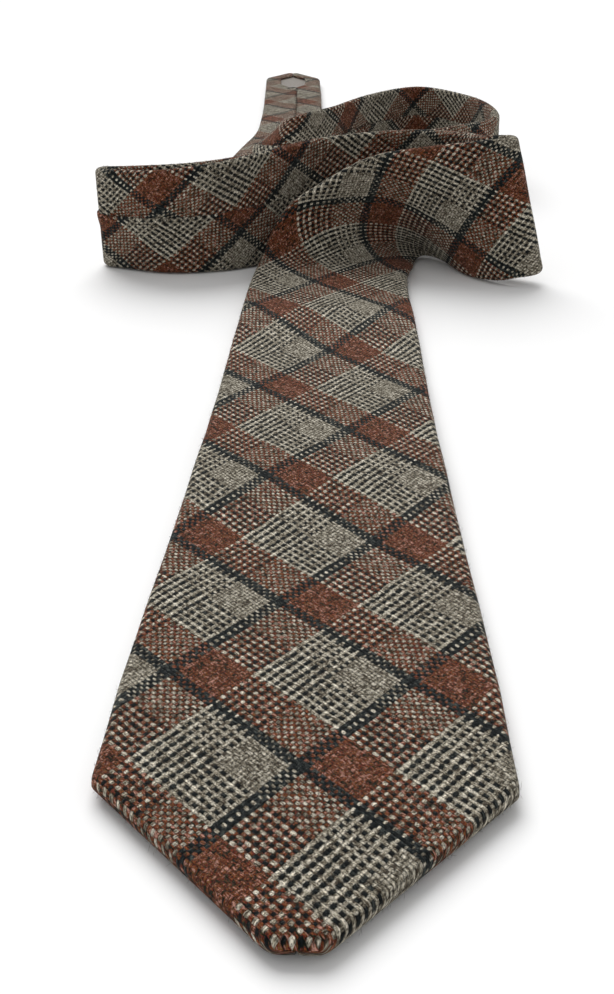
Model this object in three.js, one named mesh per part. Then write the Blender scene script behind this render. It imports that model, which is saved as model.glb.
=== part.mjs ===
// A tweed necktie laid on a table: the wide blade lies flat, then the tie stands on edge
// and runs to and fro in loose folds, and its narrow tail lies flat behind them.
// Millimetres, +Z up, Y along the blade, floor at z = 0.
import * as THREE from 'three';

// Cut of the tie, measured along it from the point of the blade.
const bladeWidth = 85;
const bladePointLength = 43;
const bladePointWidth = 10;
const shoulderWidth = 84;
const shoulderStation = 78;
const middleWidth = 72;
const middleStation = 215;
const turnWidth = 68;
const turnStation = 340;
const neckWidth = 36;
const neckStation = 880;
const tailWidth = 41;
const tailPointLength = 26;
const tailPointWidth = 8;

// Layers, from the face cloth to the cloth of the back.
const clothThickness = 0.8;
const interliningThickness = 1.6;
const tippingThickness = 0.4;
const clearance = 0.3;
const cavityThickness = interliningThickness + tippingThickness + 3 * clearance;
const tieThickness = 2 * clothThickness + cavityThickness;
const edgeRadius = tieThickness / 2;
const interliningTop = edgeRadius - clothThickness - clearance;
const tippingTop = interliningTop - interliningThickness - clearance;

// Back seam, hems and trim.
const seamHalfGap = 0.6;
const hemWidth = 11;
const seamStart = 112;
const tailSeamStart = 74;
const backOpeningSlope = 0.5;
const tippingLength = 128;
const tailTippingLength = 84;
const threadSize = 0.5;
const tackLength = 9;
const tackWidth = 1.6;
const tackHeight = 0.5;
const keeperStation = 206;
const keeperWidth = 17;
const keeperLength = 58;
const keeperThickness = 1.4;
const makerLabel = { from: 222, to: 242, length: 46, thickness: 0.4 };
const careLabel = { from: 252, to: 282, length: 18, thickness: 0.4 };

// Stations where the tie is parted, besides its two sharp folds: hinges and the bias seam.
const bladeHinge = 343;
const neckSeam = 983;
const tailHinge = 1366;
const interliningInset = 3;
const foldGap = 1.2;

// Route of the tie's middle line, with the direction from its left edge to its right edge.
const flatHeight = 3.6;
const route = [
  { at: [0, -41, flatHeight], across: [1, 0, 0] },
  { at: [0, 0, flatHeight], across: [1, 0, 0] },
  { at: [0, 100, flatHeight], across: [1, 0, 0] },
  { at: [0, 165, 5.2], across: [1, 0, 0] },
  { at: [0, 230, flatHeight], across: [1, 0, 0] },
  { at: [0, 290, flatHeight], across: [1, 0, 0] },
  { at: [0, 335, flatHeight], across: [1, 0, 0] },
  { at: [3, 360, 6.4], across: [62, -6, -5] },
  { at: [10, 374, 15.2], across: [48, 11, -25] },
  { at: [19.5, 379, 20.5], across: [45, 20, -36] },
  { at: [31.5, 376, 25], across: [39, 14, -46] },
  { at: [48, 365, 27.2], across: [26, -4, -50] },
  { at: [65, 356, 30.2], across: [16, -9, -54] },
  { at: [73.5, 353.9, 32], across: [15, -8, -56] },
  { at: [78.5, 353.9, 32.6], across: [14.5, -8, -56] },
  { at: [81.4, 355.1, 32.9], across: [14.5, -8, -56] },
  { at: [82.5, 358, 33], across: [14.5, -8, -56] },
  { at: [81.4, 360.9, 33], across: [14.5, -8, -56] },
  { at: [78.5, 362.3, 32.8], across: [14.5, -8, -56] },
  { at: [69, 368.5, 31], across: [9, -8, -56] },
  { at: [58, 388, 28.8], across: [0, -0.12, -1] },
  { at: [41, 402, 27.8], across: [0, -0.08, -1] },
  { at: [18, 405, 26.8], across: [0, -0.06, -1] },
  { at: [-7, 396, 26], across: [0, -0.08, -1] },
  { at: [-28, 378, 25.2], across: [0, -0.02, -1] },
  { at: [-48, 363, 24.4], across: [0, 0.08, -1] },
  { at: [-72, 357, 23.5], across: [0, 0.16, -1] },
  { at: [-90, 362.4, 22.9], across: [0, 0.18, -1] },
  { at: [-94.6, 364, 22.8], across: [0, 0.18, -1] },
  { at: [-97.5, 365.4, 22.7], across: [0, 0.18, -1] },
  { at: [-98.6, 368.2, 22.6], across: [0, 0.18, -1] },
  { at: [-97.5, 371, 22.5], across: [0, 0.18, -1] },
  { at: [-94.6, 372.3, 22.4], across: [0, 0.18, -1] },
  { at: [-88, 374.6, 22.3], across: [0, 0.18, -1] },
  { at: [-64, 385.5, 21.8], across: [0, 0.12, -1] },
  { at: [-40, 409, 21.2], across: [0, 0.04, -1] },
  { at: [-12, 440, 20.8], across: [0, 0, -1] },
  { at: [37, 485, 19.6], across: [0, 0, -1] },
  { at: [64, 506, 19.8], across: [0, 0, -1] },
  { at: [83, 524, 20], across: [0, 0, -1] },
  { at: [87, 554, 20.2], across: [0, 0, -1] },
  { at: [75, 594, 20.4], across: [0, 0, -1] },
  { at: [49, 618, 20.6], across: [0, 0, -1] },
  { at: [20, 592, 20], across: [0, 0, -1] },
  { at: [-4, 552, 19], across: [0, 0, -1] },
  { at: [-28, 530, 18.4], across: [-0.3, -0.2, -0.9] },
  { at: [-44, 550, 14.4], across: [-0.75, -0.2, -0.6] },
  { at: [-40, 590, 8.2], across: [-0.95, 0, -0.3] },
  { at: [-31, 650, 4.2], across: [-1, 0, -0.05] },
  { at: [-30, 700, flatHeight], across: [-1, 0, 0] },
  { at: [-32, 780, flatHeight], across: [-1, 0, 0] },
  { at: [-36, 886, flatHeight], across: [-1, 0, 0] },
];

const samplesPerStation = 24;
const longestStep = 16;
const largestTurn = 0.17;

const middleLine = new THREE.CatmullRomCurve3(
  route.map((station) => new THREE.Vector3(...station.at)),
);
const acrossLine = new THREE.CatmullRomCurve3(
  route.map((station) => new THREE.Vector3(...station.across).normalize()),
  false,
  'catmullrom',
  0.5,
);

// Samples of the route with the distance run so far.
function sampleRoute() {
  const count = (route.length - 1) * samplesPerStation;
  const samples = [];
  let distance = 0;
  for (let i = 0; i <= count; i += 1) {
    const centre = middleLine.getPoint(i / count);
    if (i > 0) {
      distance += centre.distanceTo(samples[i - 1].centre);
    }
    samples.push({ centre, across: acrossLine.getPoint(i / count).normalize(), distance });
  }
  return samples;
}

const samples = sampleRoute();
const tieLength = samples[samples.length - 1].distance;

// Station of a sharp fold: the sample that lies farthest out to one side, before a limit.
function foldStation(side, limit) {
  const candidates = samples.filter((sample) => sample.distance < limit);
  return candidates.reduce((best, sample) => (
    side * sample.centre.x > side * best.centre.x ? sample : best
  )).distance;
}

const leftFold = foldStation(-1, neckSeam);
const frontFold = foldStation(1, leftFold);

// Middle, across, along and face directions at a distance from the blade's point.
function frameAt(distance) {
  let i = 1;
  while (i < samples.length - 1 && samples[i].distance < distance) {
    i += 1;
  }
  const before = samples[i - 1];
  const after = samples[i];
  const share = (distance - before.distance) / (after.distance - before.distance);
  const centre = before.centre.clone().lerp(after.centre, share);
  const across = before.across.clone().lerp(after.across, share).normalize();
  const next = samples[Math.min(i + 1, samples.length - 1)];
  const previous = samples[Math.max(i - 2, 0)];
  const along = new THREE.Vector3().subVectors(next.centre, previous.centre).normalize();
  const face = new THREE.Vector3().crossVectors(across, along).normalize();
  return { centre, across, along, face };
}

// Width of the finished tie at a distance from the blade's point.
function widthAt(distance) {
  const profile = [
    [0, bladePointWidth],
    [bladePointLength, bladeWidth],
    [shoulderStation, shoulderWidth],
    [middleStation, middleWidth],
    [turnStation, turnWidth],
    [neckStation, neckWidth],
    [tieLength - tailPointLength, tailWidth],
    [tieLength, tailPointWidth],
  ];
  for (let i = 1; i < profile.length; i += 1) {
    const [start, startWidth] = profile[i - 1];
    const [end, endWidth] = profile[i];
    if (distance <= end) {
      return THREE.MathUtils.mapLinear(distance, start, end, startWidth, endWidth);
    }
  }
  return tailPointWidth;
}

// Half width of the opening down the back: a seam, spreading to a V at each point.
function backGapAt(distance) {
  const fromEnd = Math.max(seamStart - distance, distance - (tieLength - tailSeamStart), 0);
  const widest = widthAt(distance) / 2 - hemWidth;
  return Math.max(seamHalfGap, Math.min(seamHalfGap + fromEnd * backOpeningSlope, widest));
}

// Distances shared by every sweep, so that the layers stay parallel: close together where
// the tie turns, and at each change of width.
function sharedDistances() {
  const marks = [
    0,
    bladePointLength,
    seamStart,
    bladeHinge,
    frontFold,
    leftFold,
    neckSeam,
    tailHinge,
    tieLength - tailSeamStart,
    tieLength - tailPointLength,
    tieLength,
  ];
  const distances = [0];
  for (let i = 1; i < marks.length; i += 1) {
    let last = marks[i - 1];
    let lastFrame = frameAt(last);
    for (let at = last + 1; at < marks[i] - 1; at += 1) {
      const frame = frameAt(at);
      const turn = frame.face.angleTo(lastFrame.face) + frame.across.angleTo(lastFrame.across);
      if (turn > largestTurn || at - last > longestStep) {
        distances.push(at);
        last = at;
        lastFrame = frame;
      }
    }
    distances.push(marks[i]);
  }
  return distances;
}

const allDistances = sharedDistances();

function distancesBetween(start, end) {
  const inside = allDistances.filter((at) => at > start + clearance && at < end - clearance);
  return [start, ...inside, end];
}

// A closed solid swept along the tie. section(distance) gives two rows of [across, face]
// points of equal count; the rows bound the section, and quads between them close its ends.
function sweepAlong(distances, section) {
  const positions = [];
  const indices = [];
  let rowCount = 0;
  for (const distance of distances) {
    const frame = frameAt(distance);
    const [first, second] = section(distance);
    rowCount = first.length;
    for (const [x, y] of [...first, ...second.slice().reverse()]) {
      const point = frame.centre.clone();
      point.addScaledVector(frame.across, x);
      point.addScaledVector(frame.face, y);
      positions.push(point.x, point.y, point.z);
    }
  }
  const ringCount = 2 * rowCount;
  for (let k = 0; k < distances.length - 1; k += 1) {
    for (let i = 0; i < ringCount; i += 1) {
      const a = k * ringCount + i;
      const b = k * ringCount + ((i + 1) % ringCount);
      indices.push(a, b, b + ringCount, a, b + ringCount, a + ringCount);
    }
  }
  const last = (distances.length - 1) * ringCount;
  for (let i = 0; i < rowCount - 1; i += 1) {
    const opposite = ringCount - 1 - i;
    indices.push(i, opposite, opposite - 1, i, opposite - 1, i + 1);
    indices.push(last + i, last + i + 1, last + opposite - 1);
    indices.push(last + i, last + opposite - 1, last + opposite);
  }
  return outwardGeometry(positions, indices);
}

// Builds the geometry with its faces pointing out.
function outwardGeometry(positions, indices) {
  const a = new THREE.Vector3();
  const b = new THREE.Vector3();
  const c = new THREE.Vector3();
  let volume = 0;
  for (let i = 0; i < indices.length; i += 3) {
    a.fromArray(positions, 3 * indices[i]);
    b.fromArray(positions, 3 * indices[i + 1]);
    c.fromArray(positions, 3 * indices[i + 2]);
    volume += a.dot(b.cross(c));
  }
  const ordered = volume > 0 ? indices : indices.slice().reverse();
  const geometry = new THREE.BufferGeometry();
  geometry.setAttribute('position', new THREE.Float32BufferAttribute(positions, 3));
  geometry.setIndex(ordered);
  geometry.computeVertexNormals();
  return geometry;
}

// Outline of the folded cloth, from one side of the back gap round to the other.
function clothRow(halfWidth, gap, radius) {
  const arcSteps = 4;
  const row = [[gap, -radius]];
  for (const side of [1, -1]) {
    for (let i = 0; i <= arcSteps; i += 1) {
      const angle = (side > 0 ? -0.5 : 0.5) * Math.PI + (i / arcSteps) * Math.PI;
      row.push([side * halfWidth + Math.cos(angle) * radius, Math.sin(angle) * radius]);
    }
    if (side > 0) {
      row.push([0, radius]);
    }
  }
  row.push([-gap, -radius]);
  return row;
}

function clothSection(distance) {
  const flatHalfWidth = widthAt(distance) / 2 - edgeRadius;
  const gap = backGapAt(distance);
  return [
    clothRow(flatHalfWidth, gap, edgeRadius),
    clothRow(flatHalfWidth, gap, edgeRadius - clothThickness),
  ];
}

// A flat strip between two heights off the middle line.
function stripSection(halfWidthAt, top, thickness) {
  return (distance) => {
    const half = halfWidthAt(distance);
    return [
      [[-half, top], [0, top], [half, top]],
      [[-half, top - thickness], [0, top - thickness], [half, top - thickness]],
    ];
  };
}

const cavityHalfWidth = (distance) => widthAt(distance) / 2 - edgeRadius;

const part = new THREE.Group();

function addPiece(name, geometry, colour, roughness) {
  const material = new THREE.MeshStandardMaterial({ color: colour, roughness, metalness: 0 });
  const mesh = new THREE.Mesh(geometry, material);
  mesh.name = name;
  part.add(mesh);
}

// Ends of a run between two partings: wider apart at a sharp fold, whose inside is tight.
function trimRun(start, end) {
  const gapAt = (station) => (station === frontFold || station === leftFold ? foldGap : clearance);
  const from = start > 0 ? start + gapAt(start) / 2 : 0;
  const to = end < tieLength ? end - gapAt(end) / 2 : tieLength;
  return distancesBetween(from, to);
}

// Face cloth: the blade, neck and tail pieces, parted again at each joint.
const clothRuns = [
  ['blade_shell', 0, bladeHinge, 0x6f5a4c],
  ['blade_shell_turn', bladeHinge, frontFold, 0x665348],
  ['blade_shell_middle', frontFold, leftFold, 0x5d5248],
  ['neck_shell', leftFold, neckSeam, 0x5a4a42],
  ['tail_shell_loop', neckSeam, tailHinge, 0x54483f],
  ['tail_shell', tailHinge, tieLength, 0x8a7467],
];
for (const [name, start, end, colour] of clothRuns) {
  addPiece(name, sweepAlong(trimRun(start, end), clothSection), colour, 0.95);
}

// Interlining: one bias strip from point to point, parted where the tie moves.
const interliningRuns = [
  ['interlining_blade', interliningInset, bladeHinge],
  ['interlining_turn', bladeHinge, frontFold],
  ['interlining_middle', frontFold, leftFold],
  ['interlining_loop', leftFold, tailHinge],
  ['interlining_tail', tailHinge, tieLength - interliningInset],
];
const interliningSection = stripSection(cavityHalfWidth, interliningTop, interliningThickness);
for (const [name, start, end] of interliningRuns) {
  addPiece(name, sweepAlong(trimRun(start, end), interliningSection), 0xe4dfd2, 0.9);
}

// Tipping: the lining cloth inside each point.
const tippingSection = stripSection(cavityHalfWidth, tippingTop, tippingThickness);
const bladeTipping = distancesBetween(interliningInset, tippingLength);
addPiece('blade_tipping', sweepAlong(bladeTipping, tippingSection), 0x8d8378, 0.5);
const tailTippingStart = tieLength - tailTippingLength;
const tailTipping = distancesBetween(tailTippingStart, tieLength - interliningInset);
addPiece('tail_tipping', sweepAlong(tailTipping, tippingSection), 0x8d8378, 0.5);

// Slip stitch: one thread down the back seam, between the two tacks.
const threadRuns = [
  ['slip_stitch_blade', tippingLength, bladeHinge],
  ['slip_stitch_turn', bladeHinge, frontFold],
  ['slip_stitch_middle', frontFold, leftFold],
  ['slip_stitch_loop', leftFold, tailHinge],
  ['slip_stitch_tail', tailHinge, tailTippingStart],
];
const threadTop = threadSize - edgeRadius + clearance / 2;
const threadSection = stripSection(() => threadSize / 2, threadTop, threadSize);
for (const [name, start, end] of threadRuns) {
  addPiece(name, sweepAlong(trimRun(start, end), threadSection), 0x2e2a28, 0.8);
}

// Pieces sewn on the back, just clear of the cloth.
function addOnBack(name, start, end, length, thickness, colour, roughness) {
  const section = stripSection(() => length / 2, -edgeRadius - clearance, thickness);
  addPiece(name, sweepAlong(distancesBetween(start, end), section), colour, roughness);
}

function addTack(name, station) {
  const half = tackWidth / 2;
  addOnBack(name, station - half, station + half, tackLength, tackHeight, 0x2e2a28, 0.8);
}

addTack('bar_tack_blade', seamStart + tackWidth);
addTack('bar_tack_tail', tieLength - tailSeamStart - tackWidth);
addOnBack(
  'keeper_loop',
  keeperStation - keeperWidth / 2,
  keeperStation + keeperWidth / 2,
  keeperLength,
  keeperThickness,
  0x6b564a,
  0.95,
);
for (const [name, label] of [['maker_label', makerLabel], ['care_label', careLabel]]) {
  addOnBack(name, label.from, label.to, label.length, label.thickness, 0xd8d0c0, 0.45);
}

// The origin is under the middle of the tie, on the floor.
const bounds = new THREE.Box3().setFromObject(part);
const middle = bounds.getCenter(new THREE.Vector3());
part.position.set(-middle.x, -middle.y, -bounds.min.z);
part.updateMatrixWorld(true);

export default part;
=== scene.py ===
import bpy
import math
import numpy as np
from mathutils import Matrix, Vector


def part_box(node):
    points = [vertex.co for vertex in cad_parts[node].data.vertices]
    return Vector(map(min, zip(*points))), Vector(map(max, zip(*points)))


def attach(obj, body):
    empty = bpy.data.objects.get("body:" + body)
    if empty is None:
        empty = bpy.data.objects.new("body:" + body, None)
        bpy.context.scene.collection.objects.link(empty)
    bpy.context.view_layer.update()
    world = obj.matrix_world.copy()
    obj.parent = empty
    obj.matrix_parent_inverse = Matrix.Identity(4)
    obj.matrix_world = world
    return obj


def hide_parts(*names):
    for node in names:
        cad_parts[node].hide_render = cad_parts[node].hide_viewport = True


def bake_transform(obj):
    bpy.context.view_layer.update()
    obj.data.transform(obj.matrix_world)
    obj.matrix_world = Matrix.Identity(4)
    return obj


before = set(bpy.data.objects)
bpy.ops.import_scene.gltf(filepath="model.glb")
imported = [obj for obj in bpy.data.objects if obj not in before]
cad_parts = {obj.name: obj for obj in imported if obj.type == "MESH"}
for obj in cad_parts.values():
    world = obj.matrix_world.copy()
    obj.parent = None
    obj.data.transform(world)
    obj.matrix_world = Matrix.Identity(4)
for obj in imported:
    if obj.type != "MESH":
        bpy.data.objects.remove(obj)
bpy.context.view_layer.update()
print("frame loaded:", len(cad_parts), "nodes")

# How the tie is cut, in metres, measured from the point of the blade.
tie = {
    "bladePoint": [(0, 0.010), (0.043, 0.085)],       # station and width
    "taper": [(0.078, 0.084), (0.215, 0.072), (0.340, 0.068), (0.880, 0.036)],
    "tailPoint": [(-0.026, 0.041), (0, 0.008)],       # stations from the far end
    "thickness": 0.0045,
    "cloth": 0.0008,
    "openingSlope": 0.5,     # how fast the back opens towards a point
    "bladeSeamStart": 0.112,
    "tailSeamStart": 0.074,
    "hem": 0.011,
    "lap": 0.0022,           # how far one flap lies over the other, each side of the middle
    "lapLift": 0.0009,
    "edgeWaver": 0.0003,
    "waviness": 0.00022,
}

# Middle line of the tie as it lies, with the direction from its left edge to its right edge.
route = [
    ((0, -0.041, 0.0036), (1, 0, 0)),
    ((0, 0, 0.0036), (1, 0, 0)),
    ((0, 0.1, 0.0036), (1, 0, 0)),
    ((0, 0.165, 0.0052), (1, 0, 0)),
    ((0, 0.23, 0.0036), (1, 0, 0)),
    ((0, 0.29, 0.0036), (1, 0, 0)),
    ((0, 0.335, 0.0036), (1, 0, 0)),
    ((0.003, 0.36, 0.0064), (62, -6, -5)),
    ((0.01, 0.374, 0.0152), (48, 11, -25)),
    ((0.0195, 0.379, 0.0205), (45, 20, -36)),
    ((0.0315, 0.376, 0.025), (39, 14, -46)),
    ((0.048, 0.365, 0.0272), (26, -4, -50)),
    ((0.065, 0.356, 0.0302), (16, -9, -54)),
    ((0.0735, 0.3539, 0.032), (15, -8, -56)),
    ((0.0785, 0.3539, 0.0326), (14.5, -8, -56)),
    ((0.0814, 0.3551, 0.0329), (14.5, -8, -56)),
    ((0.0825, 0.358, 0.033), (14.5, -8, -56)),
    ((0.0814, 0.3609, 0.033), (14.5, -8, -56)),
    ((0.0785, 0.3623, 0.0328), (14.5, -8, -56)),
    ((0.069, 0.3685, 0.031), (9, -8, -56)),
    ((0.058, 0.388, 0.0288), (0, -0.12, -1)),
    ((0.041, 0.402, 0.0278), (0, -0.08, -1)),
    ((0.018, 0.405, 0.0268), (0, -0.06, -1)),
    ((-0.007, 0.396, 0.026), (0, -0.08, -1)),
    ((-0.028, 0.378, 0.0252), (0, -0.02, -1)),
    ((-0.048, 0.363, 0.0244), (0, 0.08, -1)),
    ((-0.072, 0.357, 0.0235), (0, 0.16, -1)),
    ((-0.09, 0.3624, 0.0229), (0, 0.18, -1)),
    ((-0.0946, 0.364, 0.0228), (0, 0.18, -1)),
    ((-0.0975, 0.3654, 0.0227), (0, 0.18, -1)),
    ((-0.0986, 0.3682, 0.0226), (0, 0.18, -1)),
    ((-0.0975, 0.371, 0.0225), (0, 0.18, -1)),
    ((-0.0946, 0.3723, 0.0224), (0, 0.18, -1)),
    ((-0.088, 0.3746, 0.0223), (0, 0.18, -1)),
    ((-0.064, 0.3855, 0.0218), (0, 0.12, -1)),
    ((-0.04, 0.409, 0.0212), (0, 0.04, -1)),
    ((-0.012, 0.44, 0.0208), (0, 0, -1)),
    ((0.037, 0.485, 0.0196), (0, 0, -1)),
    ((0.064, 0.506, 0.0198), (0, 0, -1)),
    ((0.083, 0.524, 0.02), (0, 0, -1)),
    ((0.087, 0.554, 0.0202), (0, 0, -1)),
    ((0.075, 0.594, 0.0204), (0, 0, -1)),
    ((0.049, 0.618, 0.0206), (0, 0, -1)),
    ((0.02, 0.592, 0.02), (0, 0, -1)),
    ((-0.004, 0.552, 0.019), (0, 0, -1)),
    ((-0.028, 0.53, 0.0184), (-0.3, -0.2, -0.9)),
    ((-0.044, 0.55, 0.0144), (-0.75, -0.2, -0.6)),
    ((-0.04, 0.59, 0.0082), (-0.95, 0, -0.3)),
    ((-0.031, 0.65, 0.0042), (-1, 0, -0.05)),
    ((-0.03, 0.7, 0.0036), (-1, 0, 0)),
    ((-0.032, 0.78, 0.0036), (-1, 0, 0)),
    ((-0.036, 0.886, 0.0036), (-1, 0, 0)),
]


# Catmull-Rom spline: power 0.5 spaces it by the root of each gap, power 0 evenly.
def splineThrough(points, steps, power):
    padded = np.vstack([2 * points[0] - points[1], points, 2 * points[-1] - points[-2]])
    share = np.linspace(0, 1, steps, endpoint=False)[:, None]
    rows = []
    for p0, p1, p2, p3 in zip(padded, padded[1:], padded[2:], padded[3:]):
        before, middle, after = (
            np.linalg.norm(b - a) ** power for a, b in ((p0, p1), (p1, p2), (p2, p3))
        )
        leave = (p1 - p0) / before - (p2 - p0) / (before + middle) + (p2 - p1) / middle
        arrive = (p2 - p1) / middle - (p3 - p1) / (middle + after) + (p3 - p2) / after
        leave, arrive = leave * middle, arrive * middle
        cubic = 2 * p1 - 2 * p2 + leave + arrive
        square = -3 * p1 + 3 * p2 - 2 * leave - arrive
        rows.append(((cubic * share + square) * share + leave) * share + p1)
    return np.vstack([*rows, points[-1]])


def unit(vectors):
    return vectors / np.linalg.norm(vectors, axis=-1, keepdims=True)


# The route starts at the blade's point and first lies flat, so the blade's CAD box says where it
# lies in the frame.
def moveToFrame(line):
    low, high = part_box("blade_shell")
    blade = line[line[:, 1] < line[0, 1] + high.y - low.y]
    lowest = blade[:, 2].min() - tie["thickness"] / 2
    return line + ((low.x + high.x) / 2 - line[0, 0], low.y - line[0, 1], low.z - lowest)


routeSteps = 40
middleLine = splineThrough(np.array([r[0] for r in route], float), routeSteps, 0.5)
middleLine = moveToFrame(middleLine)
acrossLine = unit(splineThrough(unit(np.array([r[1] for r in route], float)), routeSteps, 0))
alongLine = unit(np.gradient(middleLine, axis=0))
faceLine = unit(np.cross(acrossLine, alongLine))
station = np.concatenate([[0], np.cumsum(np.linalg.norm(np.diff(middleLine, axis=0), axis=1))])
tieLength = station[-1]
print("tie length", round(tieLength, 4), "m")


def atStations(line, stations):
    return np.stack([np.interp(stations, station, line[:, k]) for k in range(3)], 1)


# Station of a sharp fold: where the middle line lies farthest out to one side.
def foldStation(side, limit):
    inside = station < limit
    return station[inside][np.argmax(side * middleLine[inside, 0])]


foldsEnd = 0.983       # both sharp folds lie before this station
leftFold = foldStation(-1, foldsEnd)
rightFold = foldStation(1, leftFold)


def smoothStep(value):
    value = np.clip(value, 0, 1)
    return value * value * (3 - 2 * value)


# A slow waver between about -1 and 1, the same each time that the script runs.
def waver(distance, across=0.0, seed=0.0):
    first = np.sin(distance * 41 + across * 63 + seed * 2.1)
    second = np.sin(distance * 97 - across * 120 + seed * 4.7)
    third = np.sin(distance * 23 + across * 210 + seed)
    return (first + 0.6 * second + 0.7 * third) / 2.3


def widthAt(distance):
    tail = [(tieLength + place, width) for place, width in tie["tailPoint"]]
    places, widths = zip(*tie["bladePoint"], *tie["taper"], *tail)
    return np.interp(distance, places, widths) + tie["edgeWaver"] * waver(distance * 1.7, 0, 3)


# Spacing of the rings, in metres; the turn from one ring to the next is in radians.
ringSpacing = {"turn": 0.11, "shortest": 0.0007, "longest": 0.0026, "atPoint": 0.0003, "growth": 0.5}
sliver = 0.0002        # a last step shorter than this joins the one before


# Stations of the rings: close together round a turn and at the two points.
def ringStations(start, end):
    turning = np.linalg.norm(np.gradient(faceLine, axis=0), axis=1)
    turning += np.linalg.norm(np.gradient(acrossLine, axis=0), axis=1)
    turning /= np.gradient(station)
    stations, at = [start], start
    while at < end:
        fromPoint = min(at, tieLength - at)
        closest = ringSpacing["atPoint"] + ringSpacing["growth"] * fromPoint
        step = ringSpacing["turn"] / max(np.interp(at, station, turning), 1e-6)
        step = min(max(step, ringSpacing["shortest"]), ringSpacing["longest"], closest)
        at += step
        stations.append(min(at, end))
    if len(stations) > 2 and stations[-1] - stations[-2] < sliver:
        stations.pop(-2)
    return np.array(stations)


print("route sampled, folds at", round(rightFold, 4), round(leftFold, 4))


# Finer sizes of the folded section, in metres; a share has no unit.
section = {
    "leastHalf": 0.53,         # share of a layer that stays between the middle and a face
    "openingLead": 0.004,      # the flaps start to part this far before the seam ends
    "narrowest": 0.0004,
    "lapReach": 0.0015, "lapFade": 0.003, "lapFromPoint": 0.02, "underLift": 0.7,
    "lip": 0.00044, "lipShare": 0.48,
    "hemShare": 0.6, "hemLongest": 0.007, "hemUnderLap": 0.45, "underHem": 0.0003, "underHemCut": 0.9,
    "press": 0.00012, "pressInset": 0.004, "pressWidth": 0.0025,
    "bendLength": 0.007, "bendShare": 0.8, "flapSwell": 0.7,
    "closingLeast": 0.05, "closingReach": 0.0008,
}
fullHalf = (tie["thickness"] - tie["cloth"]) / 2     # from the middle to a face's mid-surface


# Outline of the folded cloth's mid-surface at each station, from the left flap's hem round the
# face to the right flap's hem. Gives across, face offset and the run of cloth from the middle.
def clothOutline(stations):
    layer = tie["cloth"]
    radius = tie["thickness"] / 2
    fromPoint = np.minimum(stations, tieLength - stations)
    closing = np.sqrt(np.clip(1 - (1 - np.minimum(fromPoint / radius, 1)) ** 2, 0, 1))
    half = (radius - layer / 2) * closing
    half = np.maximum(half, section["leastHalf"] * layer)
    flat = widthAt(stations) / 2 - radius
    slack = np.maximum(
        tie["bladeSeamStart"] - stations, stations - (tieLength - tie["tailSeamStart"])
    )
    opening = np.maximum(slack, -section["openingLead"]) + section["openingLead"]
    mitre = np.maximum(widthAt(stations) / 2 - tie["hem"], section["narrowest"])
    halves = []
    for side in (1, -1):
        over = side > 0
        flapEnd = np.minimum(-tie["lap"] + opening * tie["openingSlope"], mitre)
        lapped = smoothStep((section["lapReach"] - flapEnd) / section["lapFade"])
        lapped = lapped * smoothStep(fromPoint / section["lapFromPoint"])
        lift = lapped * (-tie["lapLift"] if over else section["underLift"] * tie["lapLift"])
        lift = np.where(lapped < 1e-6, 0, lift)
        lip = np.minimum(section["lip"], half * section["lipShare"])
        hemRun = section["hemShare"] * (flat - flapEnd)
        hemRun = np.clip(hemRun, section["narrowest"], section["hemLongest"])
        hemRun = hemRun * (1 - section["hemUnderLap"] * lapped)
        if not over:
            hemRun = hemRun * (1 - section["underHemCut"] * lapped) + section["underHem"] * lapped
        halves.append(halfOutline(stations, side, flat, half, flapEnd, lift, lip, hemRun))
    (xl, yl, ul), (xr, yr, ur) = halves[1], halves[0]
    across = np.hstack([xl[:, :0:-1], xr])
    face = np.hstack([yl[:, :0:-1], yr])
    run = np.hstack([-ul[:, :0:-1], ur])
    return across, face, run


faceSteps, edgeSteps, flapSteps, lipSteps, hemSteps = 22, 9, 16, 5, 4


# One side of the outline: the face, the folded edge, the flap, the lip at its end and the hem
# turned back inside.
def halfOutline(stations, side, flat, half, flapEnd, lift, lip, hemRun):
    column = stations[:, None]
    flat, half, lift, lip, hemRun = (row[:, None] for row in (flat, half, lift, lip, hemRun))
    end = flapEnd[:, None] + lip

    share = np.linspace(0, 1, faceSteps)[None, :]
    faceX = flat * share
    swell = tie["waviness"] * waver(column, side * faceX) * np.minimum(half / fullHalf, 1)
    fromPress = (faceX - flat + section["pressInset"]) / section["pressWidth"]
    press = section["press"] * np.exp(-fromPress ** 2)
    faceY = half + (swell - press) * (1 - share ** 6)

    angle = (0.5 - np.linspace(0, 1, edgeSteps + 1)[1:]) * math.pi
    edgeX = flat + half * np.cos(angle)[None, :]
    edgeY = half * np.sin(angle)[None, :]

    share = np.linspace(0, 1, flapSteps + 1)[None, 1:] ** 0.85
    flapX = flat + (end - flat) * share
    bend = np.minimum(section["bendLength"], section["bendShare"] * np.abs(flat - end))
    near = smoothStep(1 - (flapX - end) / bend)
    swell = section["flapSwell"] * tie["waviness"] * waver(column, side * flapX, 5)
    flapY = -half + lift * near - np.abs(swell * np.sin(share * math.pi)) / 2

    angle = (-0.5 - np.linspace(0, 1, lipSteps + 1)[1:]) * math.pi
    lipX = end + lip * np.cos(angle)[None, :]
    lipY = -half + lift + lip + lip * np.sin(angle)[None, :]

    share = np.linspace(0, 1, hemSteps + 1)[None, 1:]
    hemX = end + hemRun * share
    hemY = np.repeat(-half + lift + lip + lip, hemSteps, axis=1)

    x = np.hstack([faceX, edgeX, flapX, lipX, hemX])
    y = np.hstack([faceY, edgeY, flapY, lipY, hemY])
    steps = np.hypot(np.diff(x, axis=1), np.diff(y, axis=1))
    run = np.hstack([np.zeros((len(x), 1)), np.cumsum(steps, axis=1)])
    return side * x, y, run


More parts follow.
